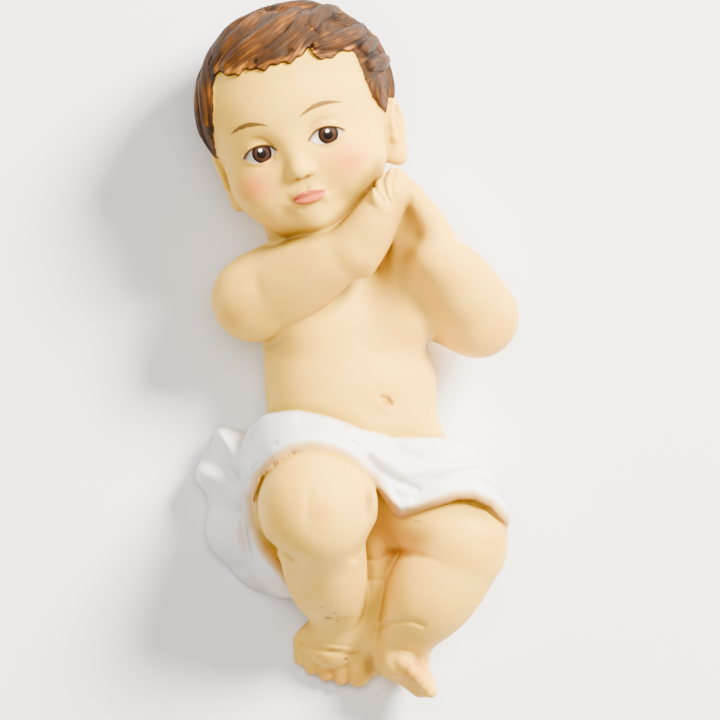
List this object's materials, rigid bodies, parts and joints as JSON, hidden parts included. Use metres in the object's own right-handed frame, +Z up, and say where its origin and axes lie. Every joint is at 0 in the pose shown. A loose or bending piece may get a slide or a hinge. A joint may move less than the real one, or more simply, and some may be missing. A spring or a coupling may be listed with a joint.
{
  "type": "infant nativity figurine",
  "caption": "Painted cast figurine of a lying infant in a loincloth, with praying hands by its cheek, one knee raised and a flat underside that rests in a manger or on a shelf.",
  "frame": {"origin": "bottom centre of the figure's box, on the plane that it lies on", "axes": "+X to the figure's left hand, +Y from the feet to the head, +Z up out of the chest as it lies on its back"},
  "size_m": [0.058, 0.125, 0.0406],
  "materials": {
    "painted_resin": "cast polyresin, hand painted in cream skin, brown hair and white cloth, under a thin satin coat"
  },
  "bodies": {
    "root": {"infant_figure": "painted_resin"}
  },
  "joints": []
}
